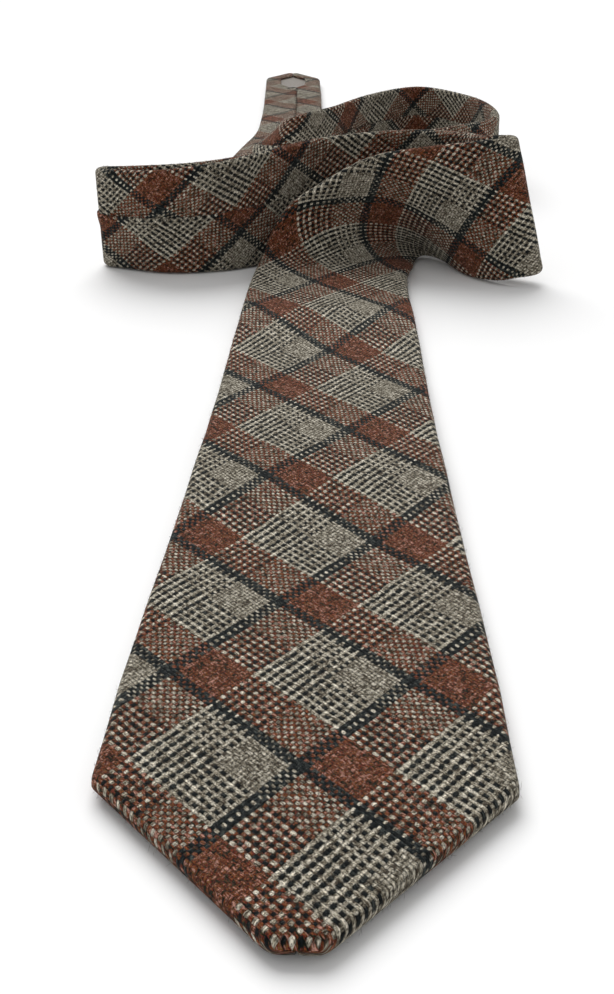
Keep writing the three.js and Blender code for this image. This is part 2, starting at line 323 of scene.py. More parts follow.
# Moves an outline out and in by half a layer, and joins the two sides into one ring. The layers
# close at each point.
def ringOf(stations, across, face, run, layer):
    fromPoint = np.minimum(stations, tieLength - stations)
    least = section["closingLeast"]
    closing = np.clip(least + fromPoint / section["closingReach"], least, 1) ** 0.5
    dx, dy = np.gradient(across, axis=1), np.gradient(face, axis=1)
    length = np.maximum(np.hypot(dx, dy), 1e-9)
    outX, outY = -dy / length * layer / 2, dx / length * layer / 2
    x = np.hstack([across + outX, (across - outX)[:, ::-1]])
    y = np.hstack([face + outY, (face - outY)[:, ::-1]]) * closing[:, None]
    return x, y, np.hstack([run, run[:, ::-1]])


def placeAlong(stations, across, face):
    centre = atStations(middleLine, stations)
    acrossWay = unit(atStations(acrossLine, stations))
    faceWay = unit(atStations(faceLine, stations))
    points = centre[:, None, :] + across[..., None] * acrossWay[:, None, :]
    return points + face[..., None] * faceWay[:, None, :]


millimetresPerMetre = 1000

# The weave is eased lengthwise along part of the tie: station, and place in the weave.
eased = [
    (0, 0), (0.141, 0.141), (0.182, 0.177), (0.206, 0.201), (0.253, 0.241),
    (0.290, 0.272), (0.341, 0.303), (2.341, 2.303),
]


def clothPlace(across, stations):
    return np.stack([across, np.interp(stations, *zip(*eased))], -1) * millimetresPerMetre


# One closed mesh, from rings of points; each point keeps its place on the cloth as a UV.
def sweptPiece(name, stations, x, y, run):
    points = placeAlong(stations, x, y)
    rings, count = x.shape
    index = np.arange(rings * count).reshape(rings, count)
    following = np.roll(index, -1, axis=1)
    sides = np.stack([index[:-1], following[:-1], following[1:], index[1:]], -1).reshape(-1, 4)
    half = count // 2
    near = np.arange(half - 1)
    far = count - 1 - near
    startCap = np.stack([near, far, far - 1, near + 1], 1)
    last = (rings - 1) * count
    endCap = np.stack([near + 1, far - 1, far, near], 1) + last
    faces = np.vstack([sides, startCap, endCap])
    cloth = clothPlace(run, np.broadcast_to(stations[:, None], run.shape))
    piece = meshPiece(name, points.reshape(-1, 3), faces.tolist(), cloth.reshape(-1, 2))
    for face in piece.data.polygons[len(sides):]:
        face.use_smooth = False      # the cut ends don't round off the cloth beside them
    return piece


def meshPiece(name, points, faces, cloth=None):
    mesh = bpy.data.meshes.new(name)
    mesh.from_pydata(points.tolist(), [], faces)
    mesh.validate()
    piece = bpy.data.objects.new(name, mesh)
    bpy.context.scene.collection.objects.link(piece)
    mesh.shade_smooth()
    turnOutward(mesh)
    if cloth is not None:
        layer = mesh.uv_layers.new(name="cloth")
        corner = np.zeros(len(mesh.loops), np.int32)
        mesh.loops.foreach_get("vertex_index", corner)
        layer.data.foreach_set("uv", cloth[corner].astype(np.float32).ravel())
    return piece


def turnOutward(mesh):
    mesh.calc_loop_triangles()
    points = np.array([v.co for v in mesh.vertices])
    corners = np.array([t.vertices for t in mesh.loop_triangles])
    a, b, c = (points[corners[:, k]] - points.mean(0) for k in range(3))
    if np.einsum("ij,ij->i", a, np.cross(b, c)).sum() < 0:
        mesh.flip_normals()


# Small helpers for building a material's nodes.
def addNode(tree, kind, inputs=None, **settings):
    node = tree.nodes.new(kind)
    for name, value in settings.items():
        setattr(node, name, value)
    for socket, value in (inputs or {}).items():
        if isinstance(value, bpy.types.NodeSocket):
            tree.links.new(value, node.inputs[socket])
        else:
            node.inputs[socket].default_value = value
    return node


def calc(tree, operation, *values):
    node = addNode(tree, "ShaderNodeMath", dict(enumerate(values)), operation=operation)
    return node.outputs[0]


def vectorCalc(tree, operation, *values):
    node = addNode(tree, "ShaderNodeVectorMath", dict(enumerate(values)), operation=operation)
    return node.outputs["Value" if operation == "DOT_PRODUCT" else "Vector"]


def mixColour(tree, share, first, second, blend="MIX"):
    node = addNode(tree, "ShaderNodeMix", data_type="RGBA", blend_type=blend)
    for socket, value in zip((0, 6, 7), (share, first, second)):
        if isinstance(value, bpy.types.NodeSocket):
            tree.links.new(value, node.inputs[socket])
        else:
            node.inputs[socket].default_value = value
    return node.outputs[2]


def ramp(tree, share, stops, interpolation="LINEAR"):
    node = addNode(tree, "ShaderNodeValToRGB", {"Fac": share})
    node.color_ramp.interpolation = interpolation
    elements = node.color_ramp.elements
    while len(elements) < len(stops):
        elements.new(0.5)
    for element, (place, colour) in zip(elements, stops):
        element.position = place
        element.color = (*colour, 1)
    return node.outputs["Color"]


def noiseAt(tree, place, scale, detail, roughness=0.5, distortion=0.0):
    return addNode(tree, "ShaderNodeTexNoise", {
        "Vector": place, "Scale": scale, "Detail": detail, "Roughness": roughness,
        "Distortion": distortion,
    })


def clamped(tree, value, low=0.0, high=1.0):
    return addNode(tree, "ShaderNodeClamp", {"Value": value, "Min": low, "Max": high}).outputs[0]


def nodeGroup(name, inputs, outputs):
    group = bpy.data.node_groups.new(name, "ShaderNodeTree")
    for label, kind in inputs:
        group.interface.new_socket(name=label, in_out="INPUT", socket_type=kind)
    for label, kind in outputs:
        group.interface.new_socket(name=label, in_out="OUTPUT", socket_type=kind)
    return group, group.nodes.new("NodeGroupInput"), group.nodes.new("NodeGroupOutput")


# The plaid: one repeat has two edges, each counted in threads of black, rust, grey and cream.
plaid = {
    "origin": (-1.05, 47.3),         # a crossing of two dark lines, mm across and along
    "warpRepeat": (-30.43, 33.0),    # mm, the way the warp runs
    "weftRepeat": (23.37, 31.41),    # mm, the way the weft runs
    "threads": 38,
    "blackThreads": 3,
    "rustThreads": 12,
    "greyThreads": 12,
    "black": [
        (0.0, (0.001, 0.002, 0.002)), (0.6, (0.005, 0.008, 0.009)), (1.0, (0.045, 0.05, 0.045)),
    ],
    "cream": [
        (0.0, (0.060, 0.046, 0.032)), (0.22, (0.17, 0.145, 0.105)), (0.55, (0.32, 0.29, 0.22)),
        (1.0, (0.64, 0.59, 0.49)),
    ],
    "rust": [
        (0.0, (0.008, 0.008, 0.005)), (0.18, (0.045, 0.048, 0.015)), (0.30, (0.100, 0.008, 0.014)),
        (0.42, (0.085, 0.012, 0.012)), (0.52, (0.250, 0.072, 0.010)), (0.62, (0.110, 0.016, 0.014)),
        (0.74, (0.130, 0.100, 0.022)), (0.86, (0.150, 0.022, 0.030)), (1.0, (0.38, 0.20, 0.15)),
    ],
}


# How one yarn lies in the weave, in thread widths, and how uneven its dye is.
yarn = {
    "halfWidth": 0.62, "creamThinner": 0.20, "greyThinner": 0.14,
    "creamBody": 0.6, "greyBody": 1.9, "lineBody": 2.7,     # fuller yarns hide what they cross
    "wave": 0.42, "round": 0.5, "fullness": 0.26, "warpLead": 0.12,
    "ragged": 1.2, "edge": 3.0,
    "heatherRate": 0.4, "heatherSide": 1.8, "heatherStep": 3.7,
    "heatherSpread": 4.4, "heatherBase": -1.7, "lotSpread": 0.22,
}

# The cloth's own unevenness, and the painted shade in the gaps between its yarns with painted light on
# their tops; scales are per millimetre of cloth.
surface = {
    "slowWaver": (0.12, 1.0), "fastWaver": (0.9, 0.34),     # scale and share
    "hairScale": 4.2, "hairRoughness": 0.7, "hairTwist": 1.5, "hairHeight": 0.5,
    "patchScale": 0.6, "patchRoughness": 0.75, "patchSpread": 2.2,
    # painted shade and light: the colour is darkened where the yarns sink and lightened where they rise
    "paintedShadeSlope": 1.1, "paintedShadeBase": -0.42, "paintedShadeDarkest": 0.06, "paintedLightest": 1.3,
    "speckScale": 2.7, "speckRoughness": 0.6, "speckSlope": 4.2, "speckBase": -1.15,
    "speckDarkest": 0.3, "speckLightest": 1.25,
}


# Colour of one yarn, from its number in the repeat and a place along its fibres.
def makeYarnDye():
    group, given, made = nodeGroup(
        "yarnDye",
        [("Yarn", "NodeSocketFloat"), ("Fibre", "NodeSocketVector"), ("Patch", "NodeSocketFloat")],
        [("Colour", "NodeSocketColor"), ("Body", "NodeSocketFloat"), ("Half", "NodeSocketFloat")],
    )
    threads = plaid["threads"]
    number = calc(group, "FLOORED_MODULO", given.outputs["Yarn"], threads)
    centred = calc(group, "DIVIDE", calc(group, "ADD", number, 0.5), threads)
    rustStart = plaid["blackThreads"] / threads
    greyStart = rustStart + plaid["rustThreads"] / threads
    creamStart = greyStart + plaid["greyThreads"] / threads
    bands = ramp(group, centred, [
        (0.0, (0, 0, 0)), (rustStart, (1, 0, 0)), (greyStart, (0, 0, 1)), (creamStart, (0, 1, 0)),
    ], "CONSTANT")
    band = addNode(group, "ShaderNodeSeparateColor", {"Color": bands})
    odd = calc(group, "FLOORED_MODULO", number, 2)
    light = calc(group, "MULTIPLY_ADD", band.outputs["Blue"], odd, band.outputs["Green"])
    heather = noiseAt(group, given.outputs["Fibre"], 1.0, 3.0, 0.75).outputs["Fac"]
    shade = calc(group, "MULTIPLY_ADD", heather, yarn["heatherSpread"], yarn["heatherBase"])
    lot = addNode(group, "ShaderNodeTexWhiteNoise", {"W": number}, noise_dimensions="1D")
    shade = calc(group, "SUBTRACT", shade, yarn["lotSpread"] / 2)
    shade = calc(group, "MULTIPLY_ADD", lot.outputs["Value"], yarn["lotSpread"], shade)
    shade = calc(group, "ADD", shade, given.outputs["Patch"])
    black, cream, rust = (ramp(group, shade, plaid[name]) for name in ("black", "cream", "rust"))
    colour = mixColour(group, light, black, cream)
    colour = mixColour(group, band.outputs["Red"], colour, rust)
    greyLight = calc(group, "MULTIPLY", band.outputs["Blue"], odd)
    line = calc(group, "LESS_THAN", number, plaid["blackThreads"] - 0.5)
    body = calc(group, "MULTIPLY_ADD", light, yarn["creamBody"], band.outputs["Red"])
    body = calc(group, "MULTIPLY_ADD", greyLight, yarn["greyBody"], body)
    body = calc(group, "MULTIPLY_ADD", line, yarn["lineBody"], body)
    half = calc(group, "MULTIPLY_ADD", light, -yarn["creamThinner"], yarn["halfWidth"])
    half = calc(group, "MULTIPLY_ADD", greyLight, -yarn["greyThinner"], half)
    group.links.new(colour, made.inputs["Colour"])
    group.links.new(body, made.inputs["Body"])
    group.links.new(half, made.inputs["Half"])
    return group


# Moves the weave a little to and fro, so that its yarns don't run dead straight.
def wavered(tree, place, amount):
    moved = place
    for scale, share in (surface["slowWaver"], surface["fastWaver"]):
        noise = noiseAt(tree, place, scale, 1.0)
        centred = vectorCalc(tree, "SUBTRACT", noise.outputs["Color"], (0.5, 0.5, 0.5))
        reach = calc(tree, "MULTIPLY", amount, share)
        scaled = addNode(
            tree, "ShaderNodeVectorMath", {0: centred, "Scale": reach}, operation="SCALE",
        )
        moved = vectorCalc(tree, "ADD", moved, scaled.outputs["Vector"])
    return moved


# Threads counted along the warp and along the weft, from a place in the cloth.
def threadsAlong(tree, place):
    (ax, ay), (bx, by) = plaid["warpRepeat"], plaid["weftRepeat"]
    area = ax * by - bx * ay
    threads = plaid["threads"]
    fromOrigin = vectorCalc(tree, "SUBTRACT", place, (*plaid["origin"], 0))
    warpWay = (-by * threads / area, bx * threads / area, 0)
    weftWay = (-ay * threads / area, ax * threads / area, 0)
    return [vectorCalc(tree, "DOT_PRODUCT", fromOrigin, way) for way in (warpWay, weftWay)]


# Height of one yarn: round in section, rising and sinking as it crosses the others.
def yarnHeight(tree, side, halfWidth, lengthwise, rising, lead, body):
    ratio = calc(tree, "DIVIDE", side, halfWidth)
    roundness = calc(tree, "SUBTRACT", 1, calc(tree, "MULTIPLY", ratio, ratio))
    roundness = calc(tree, "SQRT", calc(tree, "MAXIMUM", roundness, 0))
    wave = calc(tree, "COSINE", calc(tree, "MULTIPLY", lengthwise, math.pi))
    height = calc(tree, "MULTIPLY_ADD", calc(tree, "MULTIPLY", rising, wave), yarn["wave"], lead)
    height = calc(tree, "MULTIPLY_ADD", roundness, yarn["round"], height)
    return calc(tree, "MULTIPLY_ADD", body, yarn["fullness"], height)


# Painted shade in the gaps between the yarns and painted light on their tops, from their height, and
# specks over the whole cloth.
def paintedGapShade(tree, place, height):
    shade = calc(tree, "MULTIPLY_ADD", height, surface["paintedShadeSlope"], surface["paintedShadeBase"])
    shade = clamped(tree, shade, surface["paintedShadeDarkest"], surface["paintedLightest"])
    speck = noiseAt(tree, place, surface["speckScale"], 2.0, surface["speckRoughness"])
    specks = calc(
        tree, "MULTIPLY_ADD", speck.outputs["Fac"], surface["speckSlope"], surface["speckBase"],
    )
    specks = clamped(tree, specks, surface["speckDarkest"], surface["speckLightest"])
    return calc(tree, "MULTIPLY", shade, specks)


# A plain weave of two sets of yarns: over one, under one. Its colour carries painted shade in the gaps
# and painted light on the yarn tops.
def makePlainWeave(dye):
    group, given, made = nodeGroup(
        "plainWeave",
        [("Cloth", "NodeSocketVector"), ("Waver", "NodeSocketFloat")],
        [("Colour", "NodeSocketColor"), ("Height", "NodeSocketFloat"), ("Fuzz", "NodeSocketFloat")],
    )
    cloth = given.outputs["Cloth"]
    alongWarp, alongWeft = threadsAlong(group, wavered(group, cloth, given.outputs["Waver"]))
    counts, offsets = [], []
    for value in (alongWarp, alongWeft):
        shifted = calc(group, "ADD", value, plaid["blackThreads"] / 2)
        counts.append(calc(group, "FLOOR", shifted))
        offsets.append(calc(group, "SUBTRACT", calc(group, "FRACT", shifted), 0.5))
    weftCount, warpCount = counts
    parity = calc(group, "FLOORED_MODULO", calc(group, "ADD", weftCount, warpCount), 2)
    warpOver = calc(group, "MULTIPLY_ADD", parity, -2, 1)
    weftOver = calc(group, "MULTIPLY", warpOver, -1)
    hair = noiseAt(
        group, cloth, surface["hairScale"], 3.0, surface["hairRoughness"], surface["hairTwist"],
    ).outputs["Fac"]
    patches = noiseAt(group, cloth, surface["patchScale"], 3.0, surface["patchRoughness"])
    spread = surface["patchSpread"]
    patch = calc(group, "MULTIPLY_ADD", patches.outputs["Fac"], spread, -spread / 2)
    yarns = []
    for count, run, side, lengthwise, rising, lead in (
        (warpCount, alongWarp, offsets[1], offsets[0], warpOver, yarn["warpLead"]),
        (weftCount, alongWeft, offsets[0], offsets[1], weftOver, 0.0),
    ):
        aside = calc(group, "ADD", side, 0.5)
        fibre = addNode(group, "ShaderNodeCombineXYZ", {
            "X": calc(group, "MULTIPLY", run, yarn["heatherRate"]),
            "Y": calc(group, "MULTIPLY", aside, yarn["heatherSide"]),
            "Z": calc(group, "MULTIPLY", count, yarn["heatherStep"]),
        })
        colour, body, halfWidth = dyed(group, dye, count, fibre.outputs[0], patch)
        height = yarnHeight(group, side, halfWidth, lengthwise, rising, lead, body)
        yarns.append((colour, height))
    (warpColour, warpHeight), (weftColour, weftHeight) = yarns
    ragged = calc(group, "MULTIPLY_ADD", hair, yarn["ragged"], -yarn["ragged"] / 2)
    lead = calc(group, "ADD", calc(group, "SUBTRACT", warpHeight, weftHeight), ragged)
    share = clamped(group, calc(group, "MULTIPLY_ADD", lead, yarn["edge"], 0.5))
    colour = mixColour(group, share, weftColour, warpColour)
    height = calc(group, "MAXIMUM", warpHeight, weftHeight)
    height = calc(group, "MULTIPLY_ADD", hair, surface["hairHeight"], height)
    # the colour is multiplied by painted shade in the gaps and painted light on the yarn tops
    shade = paintedGapShade(group, cloth, height)
    colourWithPaintedShade = addNode(group, "ShaderNodeVectorMath", {0: colour, "Scale": shade}, operation="SCALE")
    group.links.new(colourWithPaintedShade.outputs["Vector"], made.inputs["Colour"])
    group.links.new(height, made.inputs["Height"])
    group.links.new(hair, made.inputs["Fuzz"])
    return group


def dyed(tree, dye, count, fibre, patch):
    node = tree.nodes.new("ShaderNodeGroup")
    node.node_tree = dye
    tree.links.new(count, node.inputs["Yarn"])
    tree.links.new(fibre, node.inputs["Fibre"])
    tree.links.new(patch, node.inputs["Patch"])
    return node.outputs["Colour"], node.outputs["Body"], node.outputs["Half"]


specularLevel = 0.12       # low, since every material here is matt or nearly so


def newMaterial(name, roughness, sheen=0.0, sheenRoughness=0.5):
    material = bpy.data.materials.new(name)
    material.use_nodes = True
    tree = material.node_tree
    shader = tree.nodes["Principled BSDF"]
    shader.inputs["Roughness"].default_value = roughness
    shader.inputs["Specular IOR Level"].default_value = specularLevel
    shader.inputs["Sheen Weight"].default_value = sheen
    shader.inputs["Sheen Roughness"].default_value = sheenRoughness
    return material, tree, shader


tweed = {
    "waver": 0.9, "relief": 0.00040, "sheen": 0.04, "roughness": 0.95,
    "fuzzRoughness": -0.2, "bareRoughness": 1.02,
}


def makeTweed(weave):
    material, tree, shader = newMaterial("woolTweed", tweed["roughness"], tweed["sheen"])
    place = addNode(tree, "ShaderNodeUVMap", uv_map="cloth")
    node = tree.nodes.new("ShaderNodeGroup")
    node.node_tree = weave
    node.inputs["Waver"].default_value = tweed["waver"]
    tree.links.new(place.outputs["UV"], node.inputs["Cloth"])
    # the weave's colour carries painted shade in the gaps and painted light on the yarn tops
    tree.links.new(node.outputs["Colour"], shader.inputs["Base Color"])
    rough = calc(
        tree, "MULTIPLY_ADD", node.outputs["Fuzz"], tweed["fuzzRoughness"], tweed["bareRoughness"],
    )
    tree.links.new(rough, shader.inputs["Roughness"])
    bump = addNode(tree, "ShaderNodeBump", {
        "Height": node.outputs["Height"], "Distance": tweed["relief"], "Strength": 1.0,
    })
    tree.links.new(bump.outputs["Normal"], shader.inputs["Normal"])
    return material


yarnDye = makeYarnDye()
plainWeave = makePlainWeave(yarnDye)
tweedMaterial = makeTweed(plainWeave)
print("tweed material made")


# How the cloth bends at the four joints: stations of the flat hinges, half the length of each
# bend, and the slope, on the table, of the line between the two sides of each sharp fold.
bends = {
    "bladeHinge": 0.343, "tailHinge": 1.366, "flatReach": 0.010, "foldReach": 0.0019,
    "rightSlope": 0.0, "leftSlope": 0.28,
}


# Start and end of the bend at a sharp fold, one on each side of it.
def foldBend(fold, slope):
    centre = atStations(middleLine, np.array([fold]))[0]
    across = unit(atStations(acrossLine, np.array([fold])))[0]
    way = unit(np.cross(across, (1, slope, 0)))
    way = way if way[1] > 0 else -way
    return centre - bends["foldReach"] * way, centre + bends["foldReach"] * way


# Start and end of the bend at a hinge in a stretch that lies flat.
def flatBend(distance):
    centre = atStations(middleLine, np.array([distance]))[0]
    reach = (0, bends["flatReach"], 0)
    return centre - reach, centre + reach


# The tie in four runs, each with one joint in it: the station where it ends, the bodies on either
# side of its joint, and its bend.
runs = [
    {
        "name": "blade", "end": 0.490, "bodies": ("blade", "front_run"),
        "bend": flatBend(bends["bladeHinge"]),
    },
    {
        "name": "right_fold", "end": 0.670, "bodies": ("front_run", "middle_run"),
        "bend": foldBend(rightFold, bends["rightSlope"]),
    },
    {
        "name": "left_fold", "end": 1.316, "bodies": ("middle_run", "back_loop"),
        "bend": foldBend(leftFold, bends["leftSlope"]),
    },
    {
        "name": "tail", "end": tieLength, "bodies": ("back_loop", "tail"),
        "bend": flatBend(bends["tailHinge"]),
    },
]
start = 0.0
for run in runs:
    run["start"] = start
    start = run["end"]


def bendPiece(piece):
    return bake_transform(piece)


# The CAD nodes that each run of cloth stands for.
clothNodes = [
    ["blade_shell", "blade_shell_turn"], ["blade_shell_middle"],
    ["neck_shell", "tail_shell_loop"], ["tail_shell"],
]


def makeCloth():
    for run, nodes in zip(runs, clothNodes):
        stations = ringStations(run["start"], run["end"])
        across, face, cloth = clothOutline(stations)
        x, y, u = ringOf(stations, across, face, cloth, tie["cloth"])
        piece = sweptPiece(run["name"] + "_cloth", stations, x, y, u)
        piece.data.materials.append(tweedMaterial)
        bendPiece(piece)
        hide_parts(*nodes)


makeCloth()


# Points given one by one as (station, across, face).
def placeEach(points):
    stations, across, face = points[..., 0], points[..., 1], points[..., 2]
    shape = stations.shape
    flat = stations.ravel()
    placed = placeAlong(flat, across.reshape(-1, 1), face.reshape(-1, 1))
    return placed.reshape(*shape, 3)


offAxis = (0.31, 0.22, 0.92)     # any direction will do that isn't a strand's own
endTaper = 0.45                  # a strand's radius at its two ends, as a share


# Closed tubes along paths of (station, across, face), all in one mesh.
def tubePiece(name, paths, radius, sides):
    line = placeEach(paths)
    line[..., 2] = np.maximum(line[..., 2], 2 * radius)      # what meets the table lies along it
    count, steps = line.shape[:2]
    along = unit(np.gradient(line, axis=1))
    helper = unit(np.cross(along, offAxis))
    other = np.cross(along, helper)
    angle = np.arange(sides) * 2 * math.pi / sides
    cosine, sine = np.cos(angle)[:, None], np.sin(angle)[:, None]
    taper = np.ones(steps)
    taper[[0, -1]] = endTaper
    ring = cosine * helper[:, :, None, :] + sine * other[:, :, None, :]
    points = line[:, :, None, :] + radius * taper[None, :, None, None] * ring
    index = np.arange(count * steps * sides).reshape(count, steps, sides)
    turned = np.roll(index, -1, axis=2)
    walls = np.stack([index[:, :-1], turned[:, :-1], turned[:, 1:], index[:, 1:]], -1)
    faces = [*walls.reshape(-1, 4).tolist()]
    faces += index[:, 0, ::-1].tolist() + index[:, -1].tolist()
    across, stations = (np.repeat(paths[..., k].ravel(), sides) for k in (1, 0))
    cloth = clothPlace(across, stations)
    return meshPiece(name, points.reshape(-1, 3), faces, cloth)


backSearch = 0.0006        # how far to each side of a place the back is looked for


# Lowest face offset of the folded cloth's back at places across it, one row per station.
def backAt(stations, places):
    x, y, _ = clothOutline(stations)
    dense = np.linspace(0, x.shape[1] - 1, 8 * x.shape[1])
    rows = []
    for outlineX, outlineY in zip(x, y):
        denseX = np.interp(dense, np.arange(len(outlineX)), outlineX)
        denseY = np.interp(dense, np.arange(len(outlineY)), outlineY)
        near = np.abs(denseX[None, :] - places[:, None]) < backSearch
        rows.append(np.where(near, denseY[None, :], 0).min(1))
    return np.array(rows) - tie["cloth"] / 2


# The back's relief as a stiffer layer follows it, bridging what is narrower than its reach.
def bridged(relief, places, reach):
    weight = np.exp(-((places[:, None] - places[None, :]) / reach) ** 2)
    smooth = relief @ (weight / weight.sum(1, keepdims=True)).T
    return np.minimum(relief, smooth)


rippleDepth = 0.00008
weaveShift = 0.0002        # a band's weave is this far out of step with the tie's


# A band or label laid over the back of the tie, with its own small ripples.
def backSheet(name, start, end, length, look):
    stations = np.linspace(start, end, 15)
    places = np.linspace(-length / 2, length / 2, 61)
    relief = bridged(backAt(stations, places), places, look["reach"])
    rise = look["bow"] * (1 - (2 * places / length) ** 2)
    ripple = rippleDepth * waver(stations[:, None] * 9, places[None, :] * 3, length * 100)
    halfLayer = look["layer"] / 2
    face = relief - look["standOff"] - halfLayer - rise[None, :] - np.abs(ripple)
    across = np.broadcast_to(places, face.shape)
    x = np.hstack([across, across[:, ::-1]])
    y = np.hstack([face + halfLayer, (face - halfLayer)[:, ::-1]])
    piece = sweptPiece(name, stations, x, y, x - weaveShift)
    print(name, "laid at", round((start + end) / 2, 4), "m")
    return piece


grainSheenRoughness = 0.3


# A fine cross grain in a look's own colours, darker in the painted shade of the grooves between its
# ribs, for the plainer cloths and the thread.
def makeGrain(name, look):
    material, tree, shader = newMaterial(
        name, look["roughness"], look["sheen"], grainSheenRoughness,
    )
    place = addNode(tree, "ShaderNodeUVMap", uv_map="cloth").outputs["UV"]
    grain = tree.nodes.new("ShaderNodeGroup")
    grain.node_tree = crossGrain
    tree.links.new(place, grain.inputs["Cloth"])
    for socket in ("Pitch", "Slant", "Patch"):
        grain.inputs[socket].default_value = look[socket.lower()]
    colour = ramp(tree, grain.outputs["ToneAndRibShade"], look["colours"])
    tree.links.new(colour, shader.inputs["Base Color"])
    bump = addNode(tree, "ShaderNodeBump", {
        "Height": grain.outputs["Height"], "Distance": look["relief"], "Strength": 1.0,
    })
    tree.links.new(bump.outputs["Normal"], shader.inputs["Normal"])
    return material


grain = {
    "noiseScale": 1.6, "crossShare": 0.35, "ribHeight": 0.3, "toneAndRibShadeSlope": 0.55, "toneBase": 0.2,
}


# Ribs of yarn crossed by a second set, with uneven tone and painted shade in the grooves between the
# ribs:
# a twill when slanted, a felt when broken up.
def makeCrossGrain():
    group, given, made = nodeGroup(
        "crossGrain",
        [("Cloth", "NodeSocketVector"), ("Pitch", "NodeSocketFloat"), ("Slant", "NodeSocketFloat"),
         ("Patch", "NodeSocketFloat")],
        [("ToneAndRibShade", "NodeSocketFloat"), ("Height", "NodeSocketFloat")],
    )
    cloth, pitch = given.outputs["Cloth"], given.outputs["Pitch"]
    parts = addNode(group, "ShaderNodeSeparateXYZ", {"Vector": cloth})
    across, along = parts.outputs["X"], parts.outputs["Y"]
    noise = noiseAt(group, cloth, grain["noiseScale"], 4.0).outputs["Fac"]
    wander = calc(group, "MULTIPLY", noise, given.outputs["Patch"])
    slanted = calc(group, "MULTIPLY_ADD", along, given.outputs["Slant"], across)
    waves = []
    for value in (slanted, along):
        count = calc(group, "ADD", calc(group, "DIVIDE", value, pitch), wander)
        waves.append(calc(group, "SINE", calc(group, "MULTIPLY", count, 2 * math.pi)))
    relief = calc(group, "MULTIPLY_ADD", waves[1], grain["crossShare"], waves[0])
    height = calc(group, "MULTIPLY_ADD", relief, grain["ribHeight"], noise)
    # the tone follows the height: painted shade in the grooves between the ribs, with uneven tone from
    # the noise
    toneWithRibShade = calc(group, "MULTIPLY_ADD", height, grain["toneAndRibShadeSlope"], grain["toneBase"])
    group.links.new(toneWithRibShade, made.inputs["ToneAndRibShade"])
    group.links.new(height, made.inputs["Height"])
    return group


crossGrain = makeCrossGrain()

# Sizes are in metres, and the grain's pitch is in millimetres.
interliningLook = {
    "top": 0.00112, "bottom": 0.00008, "inset": 0.003, "sideGap": 0.0003,
    "roughness": 0.95, "sheen": 0.3, "pitch": 0.9, "slant": 0.15, "patch": 2.2, "relief": 0.00012,
    "colours": [(0.0, (0.42, 0.39, 0.33)), (0.5, (0.64, 0.61, 0.54)), (1.0, (0.80, 0.77, 0.71))],
}
interliningNodes = [
    ["interlining_blade", "interlining_turn"], ["interlining_middle"],
    ["interlining_loop"], ["interlining_tail"],
]


innerRipple = 0.00007


# A flat layer inside the tie between two face offsets.
def innerLayer(name, start, end, look, material):
    stations = ringStations(start, end)
    flat = widthAt(stations) / 2 - tie["thickness"] / 2 - look["sideGap"]
    across = flat[:, None] * np.linspace(-1, 1, 33)[None, :]
    ripple = innerRipple * waver(stations[:, None] * 3, across * 2, 4)
    x = np.hstack([across, across[:, ::-1]])
    y = np.hstack([look["top"] + ripple, look["bottom"] + ripple[:, ::-1]])
    piece = sweptPiece(name, stations, x, y, x)
    piece.data.materials.append(material)
    return piece


def makeInterlining():
    material = makeGrain("brushedWool", interliningLook)
    inset = interliningLook["inset"]
    for run, nodes in zip(runs, interliningNodes):
        start = max(run["start"], inset)
        end = min(run["end"], tieLength - inset)
        name = run["name"] + "_interlining"
        piece = innerLayer(name, start, end, interliningLook, material)
        bendPiece(piece)
        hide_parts(*nodes)


makeInterlining()
print("interlining made")

tippingLook = {
    "top": -0.00008, "bottom": -0.00046, "sideGap": 0.0005,
    "roughness": 0.42, "sheen": 0.25, "pitch": 0.36, "slant": 1.0, "patch": 0.25, "relief": 0.00005,
    "colours": [(0.0, (0.10, 0.085, 0.070)), (0.5, (0.20, 0.172, 0.145)), (1.0, (0.33, 0.29, 0.25))],
}
tippings = [
    {"node": "blade_tipping", "body": "blade", "start": 0.003, "end": 0.128},
    {"node": "tail_tipping", "body": "tail", "start": tieLength - 0.084, "end": tieLength - 0.003},
]


def makeTipping():
    material = makeGrain("twillTipping", tippingLook)
    for tipping in tippings:
        name = tipping["node"] + "_cloth"
        piece = innerLayer(name, tipping["start"], tipping["end"], tippingLook, material)
        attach(piece, tipping["body"])
        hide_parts(tipping["node"])


makeTipping()
print("tipping made")

threadLook = {
    "radius": 0.00017, "pitch": 0.25, "slant": 1.2, "patch": 0.2, "relief": 0.00004,
    "roughness": 0.6, "sheen": 0.2,
    "colours": [(0.0, (0.012, 0.011, 0.010)), (0.6, (0.03, 0.027, 0.024)), (1.0, (0.07, 0.064, 0.057))],
}
threadMaterial = makeGrain("darkThread", threadLook)
stitch = {
    "pitch": 0.008, "slant": 0.0026, "start": 0.118, "end": tieLength - 0.080,
    "over": [            # the thread's way over the lip, across and face offset
        (-0.0011, -0.0033), (-0.0019, -0.00345), (-0.0027, -0.0031), (-0.0030, -0.0024),
        (-0.0034, -0.0021),
    ],
    "wander": 0.0002, "wanderRate": 900, "margin": 0.001,
}
stitchNodes = [
    ["slip_stitch_blade", "slip_stitch_turn"], ["slip_stitch_middle"],
    ["slip_stitch_loop"], ["slip_stitch_tail"],
]


